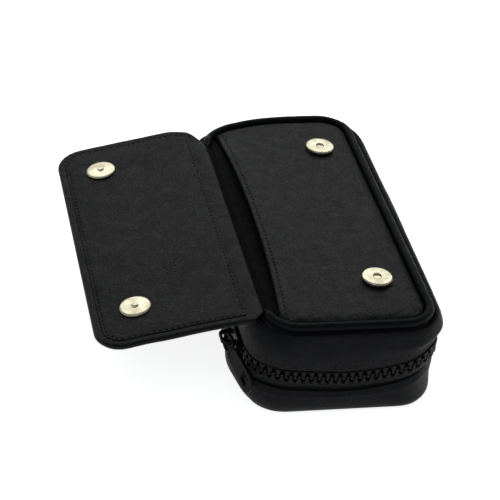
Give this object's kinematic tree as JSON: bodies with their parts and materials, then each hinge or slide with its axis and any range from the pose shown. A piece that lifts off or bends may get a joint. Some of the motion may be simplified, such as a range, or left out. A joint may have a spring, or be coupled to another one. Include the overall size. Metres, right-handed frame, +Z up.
{
  "type": "zip-round fountain pen case",
  "caption": "Soft black leather zip-round pen case with a snap-down cover flap over a slip pocket, shown zipped shut with the flap open.",
  "frame": {"origin": "centre of the base panel's underside, where the closed case rests", "axes": "+Z up through the lid, +Y along the case's long side away from the zip slider, +X across the case away from the spine and the open flap"},
  "size_m": [0.1562, 0.184, 0.0498],
  "materials": {
    "case_leather": "soft black nappa with a fine grain",
    "lining_cloth": "plain weave lining cloth",
    "stiffener_board": "dense fibre board",
    "zip_tape": "black woven herringbone tape",
    "zip_plastic": "black moulded plastic",
    "black_metal": "glossy black plated metal",
    "snap_nickel": "warm polished nickel",
    "pen_elastic": "woven elastic"
  },
  "bodies": {
    "base": {"base_panel": "case_leather", "base_gusset": "case_leather", "spine_lower": "case_leather", "base_stiffener": "stiffener_board", "base_lining": "lining_cloth", "zip_tape_lower": "zip_tape", "zip_teeth_lower": "zip_plastic", "zip_end_tape_front": "zip_tape", "zip_end_tape_back": "zip_tape", "zip_end_teeth_front": "zip_plastic", "zip_end_teeth_back": "zip_plastic", "zip_stop_front": "black_metal", "zip_stop_back": "black_metal", "pen_loops_front": "pen_elastic", "pen_loops_back": "pen_elastic"},
    "lid": {"lid_panel": "case_leather", "lid_gusset": "case_leather", "spine_upper": "case_leather", "lid_stiffener": "stiffener_board", "lid_lining": "lining_cloth", "lid_slip_pocket": "lining_cloth", "lid_piping": "case_leather", "pocket_panel": "case_leather", "flap_anchor_strip": "case_leather", "zip_tape_upper": "zip_tape", "zip_teeth_upper": "zip_plastic", "snap_socket_front": "snap_nickel", "snap_socket_back": "snap_nickel", "socket_washer_front": "snap_nickel", "socket_washer_back": "snap_nickel"},
    "flap": {"flap_leather": "case_leather", "flap_lining": "case_leather", "flap_board": "stiffener_board", "flap_hinge_strip": "case_leather", "snap_stud_front": "snap_nickel", "snap_stud_back": "snap_nickel"},
    "slider": {"slider_body": "black_metal"},
    "pull": {"pull_ring": "black_metal", "pull_tab": "black_metal"}
  },
  "joints": [
    {"name": "lid_hinge", "type": "hinge", "parent": "base", "child": "lid", "pos_m": [-0.046, 0, 0.025], "axis": [0, -1, 0], "range_deg": [0, 90]},
    {"name": "flap_hinge", "type": "hinge", "parent": "lid", "child": "flap", "pos_m": [-0.0372, 0, 0.0483], "axis": [0, 1, 0], "range_deg": [-20, 188]},
    {"name": "zip_slide", "type": "slide", "parent": "base", "child": "slider", "axis": [0, -1, 0], "range_m": [0, 0.0055]},
    {"name": "pull_swing", "type": "hinge", "parent": "slider", "child": "pull", "pos_m": [-0.0492, -0.0581, 0.0205], "axis": [0, 0, -1], "range_deg": [0, 190]}
  ]
}
